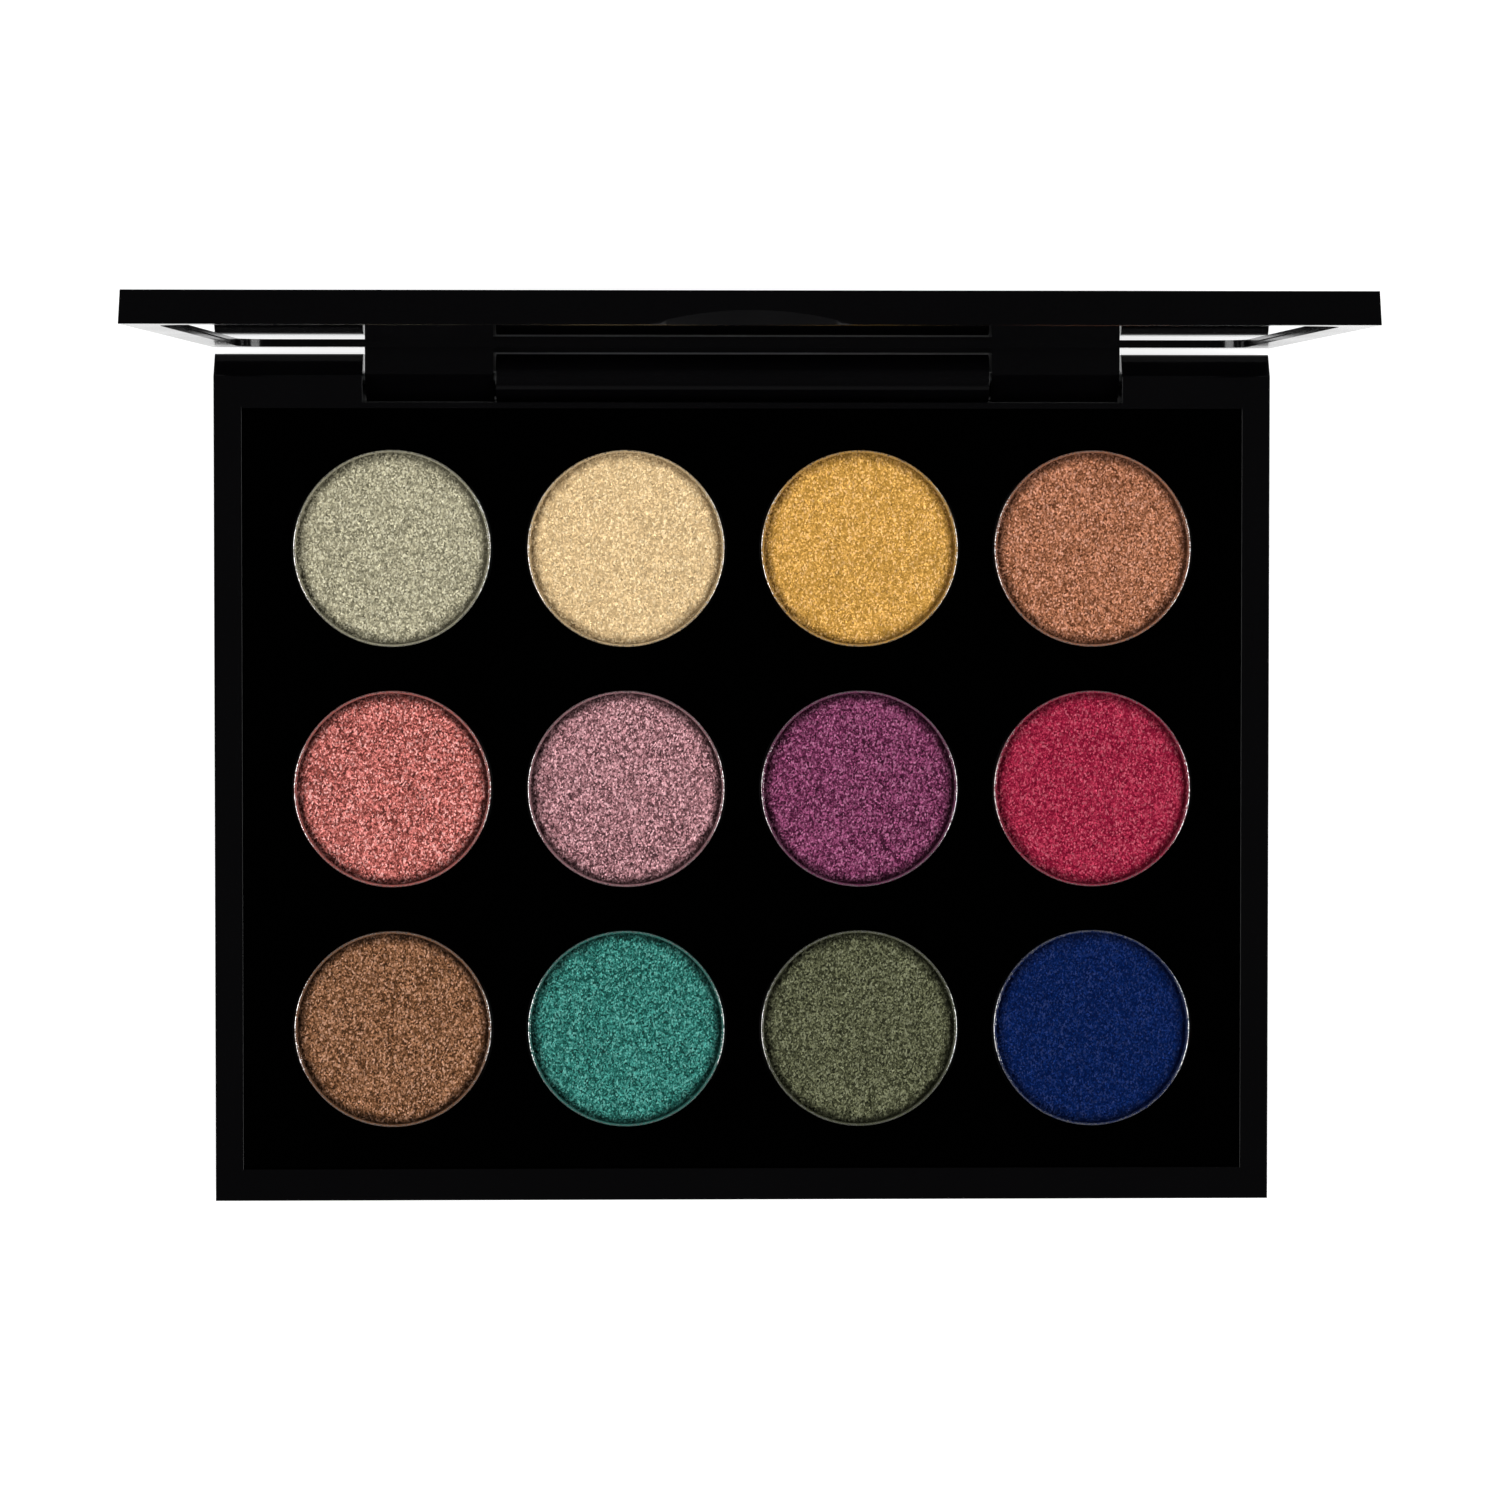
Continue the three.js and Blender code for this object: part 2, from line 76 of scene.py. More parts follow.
class Nodes:
    """A short way to write a material's or the world's nodes."""

    def __init__(self, tree):
        self.tree = tree
        tree.nodes.clear()

    def add(self, kind, inputs=None, **settings):
        node = self.tree.nodes.new(kind)
        for key, value in settings.items():
            setattr(node, key, value)
        for key, value in (inputs or {}).items():
            self.plug(node.inputs[key], value)
        return node

    def plug(self, socket, value):
        if isinstance(value, bpy.types.NodeSocket):
            self.tree.links.new(value, socket)
        else:
            socket.default_value = value

    def vector(self, operation, a, b=None):
        inputs = {0: a} if b is None else {0: a, 1: b}
        return self.add("ShaderNodeVectorMath", inputs, operation=operation).outputs[0]

    def scaled(self, vector, scale):
        inputs = {0: vector, "Scale": scale}
        return self.add("ShaderNodeVectorMath", inputs, operation="SCALE").outputs[0]

    def millimetres(self):
        """The point on the object, in millimetres."""
        return self.scaled(self.add("ShaderNodeTexCoord").outputs["Object"], 1 / MM)

    def radius(self, at, centre):
        """How far a point is, in plan, from an upright axis through centre; both in millimetres."""
        flat = self.vector("MULTIPLY", self.vector("SUBTRACT", at, centre), (1, 1, 0))
        return self.add("ShaderNodeVectorMath", {0: flat}, operation="LENGTH").outputs["Value"]

    def cells(self, at, scale):
        return self.add("ShaderNodeTexVoronoi", {"Vector": at, "Scale": scale}).outputs

    def noise(self, at, scale, detail=2.0, rough=0.5):
        inputs = {"Vector": at, "Scale": scale, "Detail": detail, "Roughness": rough}
        return self.add("ShaderNodeTexNoise", inputs).outputs["Fac"]

    def span(self, value, low, high, start=0.0, end=1.0):
        """Maps start..end onto low..high, held at both ends."""
        inputs = {"Value": value, "From Min": start, "From Max": end, "To Min": low, "To Max": high}
        return self.add("ShaderNodeMapRange", inputs, clamp=True).outputs["Result"]

    def spread(self, value, low, high):
        """Stretches the middle of a noise, where nearly all of it lies, onto low..high."""
        return self.span(value, low, high, 0.3, 0.7)

    def sums(self, operation, a, b):
        return self.add("ShaderNodeMath", {0: a, 1: b}, operation=operation).outputs[0]

    def mix(self, factor, a, b):
        node = self.add("ShaderNodeMix", data_type="RGBA")
        self.plug(node.inputs["Factor"], factor)
        self.plug(node.inputs[6], a)
        self.plug(node.inputs[7], b)
        return node.outputs[2]

    def ramp(self, value, stops):
        node = self.add("ShaderNodeValToRGB", {"Fac": value})
        elements = node.color_ramp.elements
        while len(elements) < len(stops):
            elements.new(0.5)
        for element, (position, colour) in zip(elements, stops):
            element.position = position
            element.color = (*colour, 1)
        return node.outputs["Color"]

    def bump(self, height, depth):
        inputs = {"Height": height, "Strength": 1.0, "Distance": depth}
        return self.add("ShaderNodeBump", inputs).outputs["Normal"]

    def surface(self, **inputs):
        named = {key.replace("_", " "): value for key, value in inputs.items()}
        shader = self.add("ShaderNodeBsdfPrincipled", named)
        self.add("ShaderNodeOutputMaterial", {"Surface": shader.outputs[0]})


def material(name):
    made = bpy.data.materials.new(name)
    made.use_nodes = True
    return made, Nodes(made.node_tree)


def grey(value):
    return (value, value, value, 1)


def pan_centre(shade):
    """The middle of a shade's tin, in millimetres."""
    lo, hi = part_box("pan_" + shade)
    return ((lo + hi) / 2 / MM).to_tuple()


def pan_inside(shade):
    """The inner radius of a shade's tin, in millimetres."""
    lo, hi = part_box("pan_" + shade)
    return (hi.x - lo.x) / 2 / MM - WALL / MM


# ---------------------------------------------------------------- materials

def satin_plastic():
    """Black moulded plastic with a very fine grain, slightly uneven in gloss."""
    made, n = material("satin_plastic")
    at = n.millimetres()
    grain = n.noise(at, 7.0, 3.0, 0.6)
    patches = n.noise(at, 0.06, 3.0)
    rough = n.sums("ADD", n.spread(patches, 0.12, 0.16), n.spread(grain, -0.015, 0.015))
    deep, faint = (0.0004, 0.0004, 0.0006, 1), (0.0011, 0.001, 0.0012, 1)
    n.surface(
        Base_Color=n.mix(n.span(grain, 0, 1, 0.35, 0.65), deep, faint),
        Roughness=rough,
        Specular_IOR_Level=0.28,
        Normal=n.bump(grain, 0.003 * MM),
    )
    return made


def deck_plastic():
    """Deep black plastic, smoother than the case, with faint wiping marks in its gloss."""
    made, n = material("deck_plastic")
    at = n.millimetres()
    wipes = n.noise(n.vector("MULTIPLY", at, (0.25, 1.0, 1.0)), 0.35, 5.0, 0.65)
    specks = n.noise(at, 5.0)
    n.surface(
        Base_Color=n.mix(n.span(specks, 0, 1, 0.6, 0.75), grey(0.00004), grey(0.00012)),
        Roughness=n.spread(wipes, 0.1, 0.17),
        Specular_IOR_Level=0.02,
        Normal=n.bump(specks, 0.001 * MM),
    )
    return made


def tin_metal(shade, colour):
    """Bright drawn tin with fine turning lines, flecked and dusted with its powder."""
    made, n = material("tin_" + shade)
    at = n.millimetres()
    radius, wall = n.radius(at, pan_centre(shade)), pan_inside(shade)
    inside = n.span(radius, 0.12, 0.0, wall + 0.06, wall + 0.2)
    dust = n.noise(at, 8.0, 3.0, 0.6)
    cover = n.span(n.sums("ADD", dust, inside), 0.0, 1.0, 0.48, 0.52)
    wave = {"Vector": at, "Scale": 9.0, "Distortion": 0.4}
    lines = n.add("ShaderNodeTexWave", wave, bands_direction="Z").outputs["Fac"]
    smudge = n.noise(at, 0.9, 3.0)
    metal = n.mix(smudge, (0.62, 0.61, 0.6, 1), (0.8, 0.79, 0.78, 1))
    powder = tuple(0.65 * c for c in colour)
    n.surface(
        Base_Color=n.mix(cover, metal, (*powder, 1)),
        Metallic=n.span(cover, 1.0, 0.0),
        Roughness=n.sums("ADD", n.span(cover, 0.1, 0.5), n.spread(smudge, 0.0, 0.06)),
        Specular_IOR_Level=0.1,
        Normal=n.bump(lines, 0.001 * MM),
    )
    return made


def flake_tones(colour, contrast):
    """The colours of flakes in shadow, low and high, and a painted glint for those catching the
    light.
    """
    pale = contrast * max(colour)
    shadow = [max(0.12 * c, c * (1 - 0.7 * contrast) - 0.02 * pale) for c in colour]
    low = [max(0.3 * c, c * (1 - 0.33 * contrast) - 0.02 * pale) for c in colour]
    high = [min(1.0, c * (1 + 0.55 * contrast) + 0.1 * pale) for c in colour]
    # Painted highlight: paler than the flake, with some white added
    painted_glint = [min(1.0, c * (1 + 1.0 * contrast) + 0.4 * pale) for c in colour]
    return shadow, low, high, painted_glint


def pressed_powder(shade, colour, contrast):
    """Pressed shimmer powder: flat flakes at odd angles, with painted shade of the wall round the
    tin's edge.
    """
    made, n = material("powder_" + shade)
    at = n.millimetres()

    # Two sizes of flake, each flake with a brightness, a gloss and a lean of its own
    grain = n.vector("MULTIPLY", at, (1.1, 0.85, 1.0))
    flakes, dust = n.cells(grain, 4.8), n.cells(grain, 8.0)
    first = n.add("ShaderNodeSeparateColor", {0: flakes["Color"]}).outputs
    second = n.add("ShaderNodeSeparateColor", {0: dust["Color"]}).outputs
    both = n.sums("ADD", n.sums("MULTIPLY", first[0], 0.6), n.sums("MULTIPLY", second[0], 0.4))
    half = (0.5, 0.5, 0.5)
    tilts = [n.vector("SUBTRACT", cell["Color"], half) for cell in (flakes, dust)]
    lean = n.scaled(n.vector("ADD", *tilts), 0.7)
    upright = n.add("ShaderNodeNewGeometry").outputs["Normal"]

    # Their colours, in slowly changing shares, with a few of the larger ones given a painted glint,
    # a pale painted highlight
    broad, close = n.noise(at, 0.3, 3.0), n.noise(at, 1.4)
    mottle = n.sums("ADD", n.spread(broad, -0.05, 0.05), n.spread(close, -0.045, 0.045))
    shadow, low, high, painted_glint = flake_tones(colour, contrast)
    stops = [(0.12, shadow), (0.36, low), (0.56, colour), (0.85, high)]
    tone = n.ramp(n.sums("ADD", both, mottle), stops)
    tone = n.mix(n.span(first[1], 0.0, 0.9, 0.82, 0.92), tone, (*painted_glint, 1))

    # Painted shade of the tin's wall: a darker band with a wavy outline just inside it
    radius, wall = n.radius(at, pan_centre(shade)), pan_inside(shade)
    wavy = n.sums("ADD", radius, n.spread(n.noise(at, 0.8, 3.0), -0.35, 0.35))
    painted_wall_shade = n.span(wavy, 1.0, 0.62 - 0.28 * contrast, wall - 1.45, wall - 0.3)
    n.surface(
        Base_Color=n.scaled(tone, painted_wall_shade),
        Metallic=n.span(second[1], 0.2, 0.7, 0.3, 0.9),
        Roughness=n.span(first[2], 0.35, 0.6),
        Specular_IOR_Level=0.04,
        Normal=n.vector("NORMALIZE", n.vector("ADD", upright, lean)),
    )
    return made


def silvered_glass():
    """The mirror: clean silvered glass, its ground edge a little darker and greener."""
    made, n = material("silvered_glass")
    at = n.millimetres()
    haze = n.noise(at, 0.08, 3.0)
    facing = n.add("ShaderNodeNewGeometry").outputs["Normal"]
    front = n.add("ShaderNodeSeparateXYZ", {0: facing}).outputs["Y"]
    edge = n.span(n.sums("ABSOLUTE", front, 0.0), 1.0, 0.0, 0.2, 0.9)
    colour = n.mix(edge, (0.7, 0.72, 0.74, 1), (0.06, 0.1, 0.09, 1))
    rough = n.sums("ADD", n.spread(haze, 0.0, 0.012), n.span(edge, 0.0, 0.3))
    n.surface(Base_Color=colour, Metallic=1.0, Roughness=rough)
    return made


def ground_steel():
    """The hinge pins: centreless-ground steel, its lines running round the pin."""
    made, n = material("ground_steel")
    lines = n.noise(n.vector("MULTIPLY", n.millimetres(), (0.6, 9.0, 9.0)), 1.0, 4.0)
    n.surface(
        Base_Color=n.mix(lines, (0.42, 0.43, 0.44, 1), (0.66, 0.66, 0.67, 1)),
        Metallic=1.0,
        Roughness=n.span(lines, 0.24, 0.4),
        Normal=n.bump(lines, 0.004 * MM),
    )
    return made


def nickel_plate():
    """The magnets: plated, a little spotty."""
    made, n = material("nickel_plate")
    spots = n.noise(n.millimetres(), 1.6, 4.0)
    n.surface(
        Base_Color=n.mix(spots, (0.45, 0.44, 0.42, 1), (0.62, 0.61, 0.59, 1)),
        Metallic=1.0,
        Roughness=n.span(spots, 0.22, 0.42),
        Normal=n.bump(spots, 0.005 * MM),
    )
    return made


def glue():
    """Dried contact glue, yellowish, with small bubbles."""
    made, n = material("glue")
    bubbles = n.noise(n.millimetres(), 1.2, 3.0)
    n.surface(
        Base_Color=n.mix(bubbles, (0.72, 0.66, 0.5, 1), (0.86, 0.82, 0.7, 1)),
        Roughness=n.span(bubbles, 0.25, 0.5),
        Normal=n.bump(bubbles, 0.02 * MM),
    )
    return made


def foam_tape():
    """The white foam tape behind the mirror, with open cells."""
    made, n = material("foam_tape")
    cells = n.cells(n.millimetres(), 2.6)["Distance"]
    n.surface(
        Base_Color=n.mix(cells, (0.86, 0.85, 0.81, 1), (0.72, 0.71, 0.67, 1)),
        Roughness=0.85,
        Normal=n.bump(cells, 0.03 * MM),
    )
    return made


# ---------------------------------------------------------------- mesh helpers

def piece(name, bm, made, body, node, smooth=SHARP_ANGLE):
    """Turns a bmesh into a finished piece that rides on a body and stands for a CAD node."""
    bmesh.ops.recalc_face_normals(bm, faces=bm.faces)
    mesh = bpy.data.meshes.new(name)
    bm.to_mesh(mesh)
    bm.free()
    mesh.materials.append(made)
    mesh.shade_smooth()
    mesh.set_sharp_from_angle(angle=math.radians(smooth))
    thing = bpy.data.objects.new(name, mesh)
    bpy.context.scene.collection.objects.link(thing)
    weighted = thing.modifiers.new("even_normals", "WEIGHTED_NORMAL")
    weighted.keep_sharp = True
    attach(thing, body)
    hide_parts(node)


def arc(centre, radius, start, end, steps):
    """Points of an arc in a profile plane; angles in degrees from the outward direction."""
    made = []
    for i in range(steps + 1):
        angle = math.radians(start + (end - start) * i / steps)
        made.append((centre[0] + radius * math.cos(angle), centre[1] + radius * math.sin(angle)))
    return made


def turned(profile, centre, steps=ROUND, axis="Z", shape=None):
    """Spins a profile of (radius, height) points, which starts and ends on the axis.

    The axis runs along Z, X or -Y through centre. shape(x, y, z, radius) adds to the height.
    """
    bm = bmesh.new()
    rings = []
    for radius, height in profile:
        count = steps if radius > TINY else 1
        ring = []
        for i in range(count):
            angle = 2 * math.pi * i / steps
            x, y, z = radius * math.cos(angle), radius * math.sin(angle), height
            if shape:
                z += shape(x, y, z, radius)
            point = {"Z": (x, y, z), "X": (z, x, y), "Y": (x, -z, y)}[axis]
            ring.append(bm.verts.new(Vector(point) + centre))
        rings.append(ring)
    for a, b in zip(rings, rings[1:]):
        for i in range(steps):
            j = (i + 1) % steps
            corners = [a[i % len(a)], a[j % len(a)], b[j % len(b)], b[i % len(b)]]
            unique = [v for k, v in enumerate(corners) if v not in corners[:k]]
            if len(unique) > 2:
                bm.faces.new(unique)
    return bm


def refined(node):
    """A copy of a CAD node's mesh, with its coplanar facets joined and its sharp edges rounded."""
    bm = bmesh.new()
    bm.from_mesh(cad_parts[node].data)
    merge, flat, bevelled = 0.002 * MM, math.radians(0.6), math.radians(25)
    bmesh.ops.remove_doubles(bm, verts=bm.verts, dist=merge)
    bmesh.ops.dissolve_limit(
        bm, angle_limit=flat, verts=bm.verts, edges=bm.edges,
        use_dissolve_boundaries=False, delimit=set(),
    )
    sharp = [e for e in bm.edges if e.is_manifold and e.calc_face_angle(0) > bevelled]
    bmesh.ops.bevel(
        bm, geom=sharp, offset=EDGE, offset_type="OFFSET", segments=3, profile=0.5,
        affect="EDGES", clamp_overlap=True,
    )
    return bm


# ---------------------------------------------------------------- the pieces

def make_case():
    """The tray and the lid, both moulded in the same plastic."""
    plastic = satin_plastic()
    piece("case_base", refined("base_tray"), plastic, "base", "base_tray")
    piece("case_lid", refined("lid_shell"), plastic, "lid", "lid_shell")


def well_grid(bm, wells, xs, ys, z, radius):
    """Adds a flat sheet at z, a tile with a round hole for each well; returns the holes' rings."""
    cache = {}

    def corner(x, y):
        key = (round(x / MM, 4), round(y / MM, 4))
        if key not in cache:
            cache[key] = bm.verts.new((x, y, z))
        return cache[key]

    rings = []
    for row, wells_in_row in enumerate(wells):
        for column, well in enumerate(wells_in_row):
            x0, x1, y0, y1 = xs[column], xs[column + 1], ys[row], ys[row + 1]
            ring, edge = [], []
            for i in range(ROUND):
                angle = 2 * math.pi * i / ROUND
                c, s = math.cos(angle), math.sin(angle)
                ring.append(bm.verts.new((well.x + radius * c, well.y + radius * s, z)))
                reach_x = ((x1 if c > 0 else x0) - well.x) / c if abs(c) > TINY else math.inf
                reach_y = ((y1 if s > 0 else y0) - well.y) / s if abs(s) > TINY else math.inf
                reach = min(reach_x, reach_y)
                edge.append(corner(well.x + reach * c, well.y + reach * s))
            for i in range(ROUND):
                j = (i + 1) % ROUND
                a, b = edge[i], edge[j]
                face = [ring[i], ring[j], b]
                if abs(a.co.x - b.co.x) > TINY and abs(a.co.y - b.co.y) > TINY:
                    corner_x = x1 if max(a.co.x, b.co.x) > well.x else x0
                    corner_y = y1 if max(a.co.y, b.co.y) > well.y else y0
                    face.append(corner(corner_x, corner_y))
                bm.faces.new([*face, a])
            rings.append(ring)
    return rings


def outline(bm, z):
    """The edges of the open border round the outside of a sheet at z."""
    border = [e for e in bm.edges if e.is_boundary and abs(e.verts[0].co.z - z) < TINY]
    xs = [v.co.x for e in border for v in e.verts]
    ys = [v.co.y for e in border for v in e.verts]
    lows, highs = (min(xs), min(ys)), (max(xs), max(ys))

    def outer(v):
        return any(abs(v.co[k] - w[k]) < TINY for k in (0, 1) for w in (lows, highs))

    return [e for e in border if outer(e.verts[0]) and outer(e.verts[1])]


def ring_down(bm, ring, centre, points):
    """Continues a hole's ring through (radius, height) points and returns the last ring."""
    for radius, height in points:
        following = []
        for i in range(len(ring)):
            angle = 2 * math.pi * i / len(ring)
            x, y = centre.x + radius * math.cos(angle), centre.y + radius * math.sin(angle)
            following.append(bm.verts.new((x, y, height)))
        for i in range(len(ring)):
            j = (i + 1) % len(ring)
            bm.faces.new([ring[i], ring[j], following[j], following[i]])
        ring = following
    return ring


def skirt(bm, edges, steps):
    """Pulls an outer border through (growth, height) steps; returns the last border's edges."""
    points = {v for e in edges for v in e.verts}
    cx = sum(v.co.x for v in points) / len(points)
    half_x = max(abs(v.co.x - cx) for v in points)
    low_y, high_y = min(v.co.y for v in points), max(v.co.y for v in points)
    middle_y, half_y = (low_y + high_y) / 2, (high_y - low_y) / 2
    home = {v: (v.co.x - cx, v.co.y - middle_y) for v in points}
    for growth, height in steps:
        made = bmesh.ops.extrude_edge_only(bm, edges=edges)["geom"]
        new_edges = [g for g in made if isinstance(g, bmesh.types.BMEdge)]
        new_points = [g for g in made if isinstance(g, bmesh.types.BMVert)]
        old = {(round(v.co.x, 8), round(v.co.y, 8)): home[v] for v in home}
        following = {}
        for v in new_points:
            x, y = old[(round(v.co.x, 8), round(v.co.y, 8))]
            following[v] = (x, y)
            wide_x, wide_y = (half_x + growth) / half_x, (half_y + growth) / half_y
            v.co = (cx + x * wide_x, middle_y + y * wide_y, height)
        home, edges = following, new_edges
    return edges


def rounded(angles, radius):
    """(run, drop) along a quarter round, at angles in degrees from its flat start."""
    turns = [math.radians(a) for a in angles]
    return [(radius * math.sin(a), radius * (1 - math.cos(a))) for a in turns]


def halfway_cuts(low, high, middles):
    """Where to cut a strip so that each piece holds one of the middles."""
    return [low, *((a + b) / 2 for a, b in zip(middles, middles[1:])), high]


def make_deck():
    """The drop-in deck: rounded edges, twelve wells with a small lead-in, hollow underneath."""
    lo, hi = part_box("pan_insert")
    centres = {shade: sum(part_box("pan_" + shade), ZERO) / 2 for shade in SHADES}
    rows = sorted({round(c.y, 6) for c in centres.values()})
    wells = []
    for y in rows:
        wells.append(sorted((c for c in centres.values() if abs(c.y - y) < MM), key=lambda c: c.x))
    ordered = [c for row in wells for c in row]
    clearance, lead, corner = 0.15 * MM, 0.15 * MM, 0.4 * MM
    plate, wall = 1.2 * MM, 1.2 * MM
    cup_wall, cup_floor, cup_corner = 0.8 * MM, 1.0 * MM, 0.3 * MM
    tin_lo, tin_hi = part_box("pan_sage")
    well = (tin_hi.x - tin_lo.x) / 2 + clearance
    well_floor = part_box("adhesive_sage")[0].z - 0.05 * MM
    xs = halfway_cuts(lo.x + lead, hi.x - lead, [c.x for c in wells[0]])
    ys = halfway_cuts(lo.y + lead, hi.y - lead, rows)

    bm = bmesh.new()
    rings = well_grid(bm, wells, xs, ys, hi.z, well + lead)
    quarter = rounded((30, 60, 90), lead)
    mouth = [(well + lead - run, hi.z - drop) for run, drop in quarter]
    curve = rounded((0, 30, 60, 90), corner)
    bottom = [(well - drop, well_floor + corner - run) for run, drop in curve]
    for ring, centre in zip(rings, ordered):
        bm.faces.new(ring_down(bm, ring, centre, mouth + bottom))
    steps = [(run, hi.z - drop) for run, drop in quarter]
    rim = skirt(bm, outline(bm, hi.z), [*steps, (lead, lo.z)])
    skirt(bm, rim, [(-wall, lo.z), (-wall, hi.z - plate)])

    under = bmesh.new()
    cup, foot = well + cup_wall, well_floor - cup_floor
    rings = well_grid(under, wells, xs, ys, hi.z - plate, cup)
    cup_end = [(cup, foot + cup_corner), (cup - cup_corner, foot)]
    for ring, centre in zip(rings, ordered):
        under.faces.new(ring_down(under, ring, centre, cup_end))
    middle, half = (lo + hi) / 2, (hi - lo) / 2
    for v in {v for e in outline(under, hi.z - plate) for v in e.verts}:
        v.co.x = middle.x + (v.co.x - middle.x) * (half.x - wall) / (half.x - lead)
        v.co.y = middle.y + (v.co.y - middle.y) * (half.y - wall) / (half.y - lead)
    spare = bpy.data.meshes.new("under")
    under.to_mesh(spare)
    under.free()
    bm.from_mesh(spare)
    bpy.data.meshes.remove(spare)
    bmesh.ops.remove_doubles(bm, verts=bm.verts, dist=MERGE)
    piece("deck", bm, deck_plastic(), "base", "pan_insert")


def make_tin(shade, colour):
    """A shallow round tin with a rolled rim."""
    lo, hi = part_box("pan_" + shade)
    centre = Vector(((lo.x + hi.x) / 2, (lo.y + hi.y) / 2, 0))
    outer, corner, roll = (hi.x - lo.x) / 2, 0.7 * MM, 0.1 * MM
    inner, inner_corner = outer - WALL, 0.45 * MM
    sheet = 0.3 * MM
    profile = [(0, lo.z), *arc((outer - corner, lo.z + corner), corner, -90, 0, 6)]
    profile += arc((outer - roll, hi.z - roll), roll, 0, 90, 5)
    profile += arc((inner + roll, hi.z - roll), roll, 90, 180, 5)
    inside = (inner - inner_corner, lo.z + sheet + inner_corner)
    profile += [*arc(inside, inner_corner, 0, -90, 5), (0, lo.z + sheet)]
    made = tin_metal(shade, colour)
    piece("tin_" + shade, turned(profile, centre), made, "base", "pan_" + shade)


def make_powder(shade, colour, contrast, seed):
    """A pressed cake: slightly uneven, with a shallow trough at the edge and dust up the wall."""
    lo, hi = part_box("shadow_" + shade)
    centre = Vector(((lo.x + hi.x) / 2, (lo.y + hi.y) / 2, 0))
    gap, relief = 0.02 * MM, 0.25 * MM
    rim = pan_inside(shade) * MM - gap
    trough, sink, climb, crown = rim - 1.0 * MM, 0.16 * MM, 0.06 * MM, 0.04 * MM
    rings = 40

    def height(radius):
        if radius < trough:
            return crown * (1 - (radius / trough) ** 2)
        across = (radius - trough) / (rim - trough)
        return -sink * across ** 1.5 + climb * max(0.0, (across - 0.8) / 0.2) ** 2

    def uneven(x, y, z, radius):
        """Gentle waves over the top, with its middle point and its edge left alone."""
        if z < hi.z - relief or radius < TINY or radius > rim - gap:
            return 0.0
        spot = Vector((x / MM, y / MM, seed * 7.3))
        waves = ((0.022, 0.28), (0.014, 1.1), (0.01, 2.9))
        return MM * sum(size * noise.noise(spot * pitch) for size, pitch in waves)

    profile = [(0, hi.z + height(0))]
    for i in range(1, rings + 1):
        radius = rim * math.sin(math.pi / 2 * i / rings) if i < rings else rim
        profile.append((radius, hi.z + height(radius)))
    bottom = lo.z + gap
    profile += [(rim - 0.1 * MM, lo.z + 0.3 * MM), (rim - 0.5 * MM, bottom), (0, bottom)]
    bm = turned(profile, centre, shape=uneven)
    made = pressed_powder(shade, colour, contrast)
    piece("powder_" + shade, bm, made, "base", "shadow_" + shade, smooth=60)


def make_dot(shade, made, seed):
    """A flattened dot of glue with a slightly wavy outline."""
    lo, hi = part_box("adhesive_" + shade)
    centre = Vector(((lo.x + hi.x) / 2, (lo.y + hi.y) / 2, 0))
    radius, half = (hi.x - lo.x) / 2, (hi.z - lo.z) / 2
    profile = [(0, lo.z), *arc((radius - 2 * half, lo.z + half), half, -90, 90, 6), (0, hi.z)]
    bm = turned(profile, centre, steps=48)
    for v in bm.verts:
        away = Vector((v.co.x - centre.x, v.co.y - centre.y, 0))
        if away.length > radius / 2:
            angle = math.atan2(away.y, away.x)
            wave = noise.noise(Vector((2 * math.cos(angle), 2 * math.sin(angle), seed * 3.1)))
            v.co -= away * 0.06 * (1 + wave)
    piece("glue_" + shade, bm, made, "base", "adhesive_" + shade)


def chamfered(radius, low, high):
    """The profile of a disc or a pin between two heights, with a small chamfer at each end."""
    chamfer = 0.15 * MM
    side = [(radius - chamfer, low), (radius, low + chamfer), (radius, high - chamfer)]
    return [(0, low), *side, (radius - chamfer, high), (0, high)]


def make_round_parts():
    """Hinge pins and magnets."""
    steel, nickel = ground_steel(), nickel_plate()
    steps = 48
    for side in ("left", "right"):
        lo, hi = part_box("hinge_pin_" + side)
        centre = Vector((0, (lo.y + hi.y) / 2, (lo.z + hi.z) / 2))
        pin = turned(chamfered((hi.z - lo.z) / 2, lo.x, hi.x), centre, steps, "X")
        piece("pin_" + side, pin, steel, "base", "hinge_pin_" + side)
        for body, axis in (("base", "Z"), ("lid", "Y")):
            node = f"{body}_magnet_{side}"
            lo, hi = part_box(node)
            centre = (lo + hi) / 2
            if axis == "Z":
                low, high, centre.z = lo.z, hi.z, 0
            else:
                low, high, centre.y = -hi.y, -lo.y, 0
            disc = turned(chamfered((hi.x - lo.x) / 2, low, high), centre, steps, axis)
            piece(f"magnet_{body}_{side}", disc, nickel, body, node)


def upright_plate(node, corner, bevel):
    """A flat plate facing along Y, to a CAD node's box, with round corners and bevelled edges."""
    lo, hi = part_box(node)
    bm = bmesh.new()
    steps = 12
    path = []
    for cx, cz, start in ((hi.x, hi.z, 0), (lo.x, hi.z, 90), (lo.x, lo.z, 180), (hi.x, lo.z, 270)):
        x, z = cx - math.copysign(corner, cx), cz - (corner if cz == hi.z else -corner)
        path += [(x, z, math.radians(start + 90 * i / steps)) for i in range(steps + 1)]
    layers = [(bevel, lo.y), (0, lo.y + bevel), (0, hi.y - bevel), (bevel, hi.y)]
    loops = []
    for inset, y in layers:
        r = corner - inset
        points = [(x + r * math.cos(a), y, z + r * math.sin(a)) for x, z, a in path]
        loops.append([bm.verts.new(point) for point in points])
    for a, b in zip(loops, loops[1:]):
        for i in range(len(a)):
            j = (i + 1) % len(a)
            bm.faces.new([a[i], a[j], b[j], b[i]])
    bm.faces.new(loops[0])
    bm.faces.new(loops[-1])
    return bm


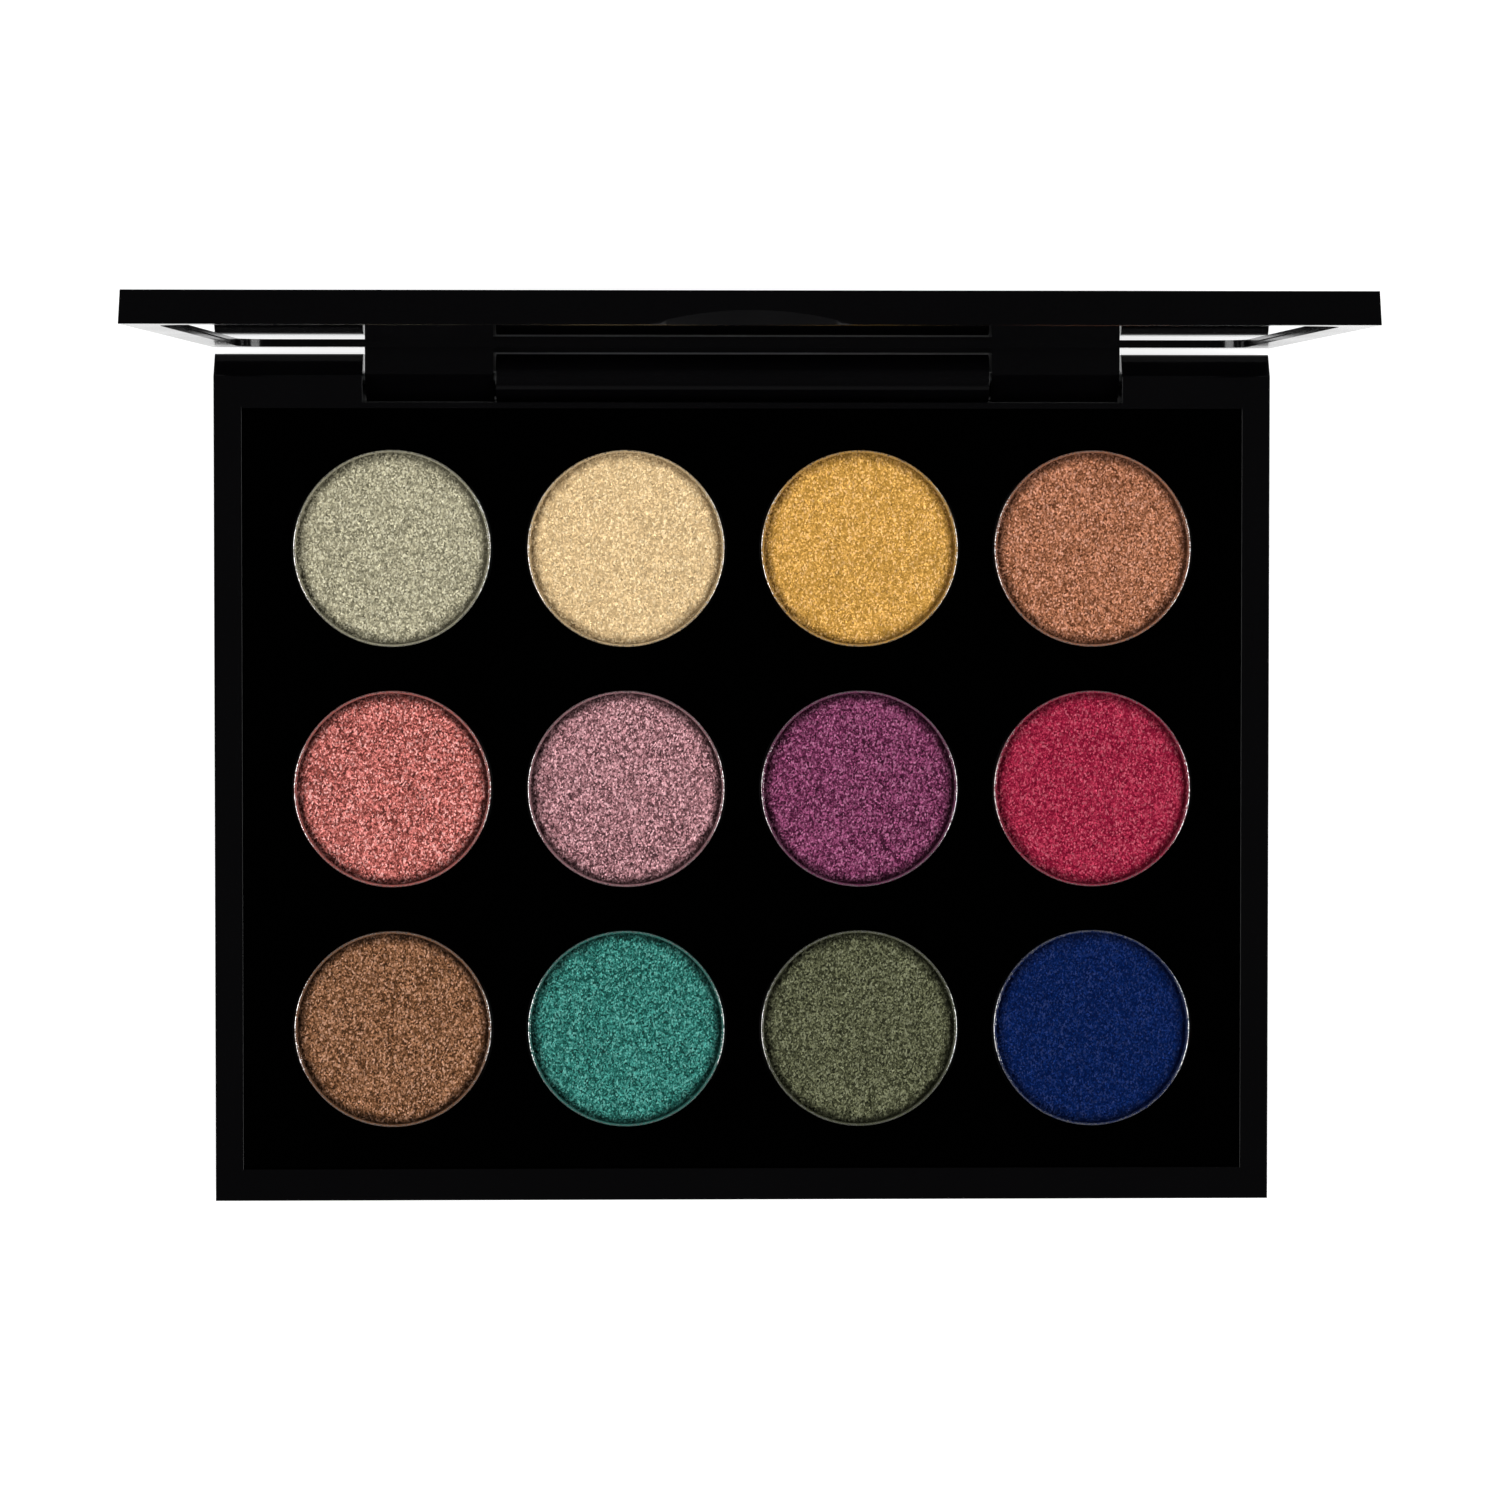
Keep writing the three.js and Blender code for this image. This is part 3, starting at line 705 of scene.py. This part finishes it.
def make_mirror():
    """The glass and, behind it, its sheet of tape."""
    glass = upright_plate("mirror", 3.8 * MM, 0.12 * MM)
    piece("mirror_glass", glass, silvered_glass(), "lid", "mirror")
    tape = upright_plate("mirror_tape", 1.5 * MM, 0.04 * MM)
    piece("tape", tape, foam_tape(), "lid", "mirror_tape")


# ---------------------------------------------------------------- studio

def make_camera():
    """High above the rear of the base, looking almost straight down."""
    place = Vector((-5.923, 41.348, 652.796)) * MM
    right = Vector((0.999731, 0.000599, 0.023192))
    up = Vector((0.000103, 0.999541, -0.030279))
    back = Vector((-0.0232, 0.030273, 0.999272))
    data = bpy.data.cameras.new("camera")
    data.lens = 116.485
    data.shift_x, data.shift_y = -0.04059, -0.09105
    data.sensor_width = 36.0
    data.clip_start = 0.01
    data.clip_end = 50.0
    camera = bpy.data.objects.new("camera", data)
    turn = Matrix((right, up, back)).transposed().to_4x4()
    camera.matrix_world = Matrix.Translation(place) @ turn
    bpy.context.scene.collection.objects.link(camera)
    bpy.context.scene.camera = camera


def make_floor():
    """A pale floor that glows a little, except in a painted shadow: a patch under the palette with
    no glow.

    Without the painted shadow, the floor's glow shows as a line in the gap at the hinge barrel.
    """
    made, n = material("pale_floor")
    at = n.millimetres()
    glow, painted_shadow_centre = 0.85, (0, 3.5, 0)
    away = n.vector("ABSOLUTE", n.vector("SUBTRACT", at, painted_shadow_centre))
    across, along = n.add("ShaderNodeSeparateXYZ", {0: away}).outputs[:2]
    # Half the painted shadow's width and half its depth, each with a short ramp from dark to lit
    beside, beyond = n.span(across, 0, glow, 34.5, 36.0), n.span(along, 0, glow, 53.1, 53.4)
    n.surface(
        Base_Color=n.mix(n.noise(at, 0.01), grey(0.34), grey(0.38)),
        Roughness=0.9,
        Emission_Color=grey(1.0),
        Emission_Strength=n.sums("MAXIMUM", beside, beyond),
    )
    bm = bmesh.new()
    bmesh.ops.create_grid(bm, x_segments=1, y_segments=1, size=8.0)
    mesh = bpy.data.meshes.new("floor")
    bm.to_mesh(mesh)
    bm.free()
    mesh.materials.append(made)
    floor = bpy.data.objects.new("floor", mesh)
    floor.location.z = -0.02 * MM
    bpy.context.scene.collection.objects.link(floor)


def softbox(name, place):
    """A square area light facing the palette, its side in metres and its energy in watts."""
    data = bpy.data.lights.new(name, "AREA")
    data.size = 0.8
    data.energy = 17.5
    light = bpy.data.objects.new(name, data)
    light.location = place
    light.rotation_euler = (-Vector(place)).to_track_quat("-Z", "Y").to_euler()
    bpy.context.scene.collection.objects.link(light)


def make_studio():
    """A soft light at each side and a dim room, dimmest overhead so that flat black stays black."""
    world = bpy.data.worlds.new("studio")
    bpy.context.scene.world = world
    world.use_nodes = True
    n = Nodes(world.node_tree)
    direction = n.add("ShaderNodeTexCoord").outputs["Generated"]
    rise = n.add("ShaderNodeSeparateXYZ", {0: direction}).outputs["Z"]
    heights = (0.0, 0.03, 0.3, 0.5, 0.7, 0.8, 0.92)  # sines of a direction's elevation
    levels = (0.6, 0.1, 0.08, 0.2, 0.2, 0.03, 0.06)
    wall = n.ramp(rise, [(rise_to, grey(level)[:3]) for rise_to, level in zip(heights, levels)])
    background = n.add("ShaderNodeBackground", {"Color": wall, "Strength": 1.0})
    n.add("ShaderNodeOutputWorld", {"Surface": background.outputs[0]})
    softbox("left_box", (-1.0, -0.15, 0.8))
    softbox("right_box", (1.0, -0.15, 0.8))
    bpy.context.scene.view_settings.view_transform = "Standard"


# ---------------------------------------------------------------- build

make_camera()
make_floor()
make_studio()
make_case()
make_deck()
make_mirror()
make_round_parts()
dots = glue()
for order, (shade, (colour, contrast)) in enumerate(SHADES.items()):
    make_tin(shade, colour)
    make_powder(shade, colour, contrast, order)
    make_dot(shade, dots, order)
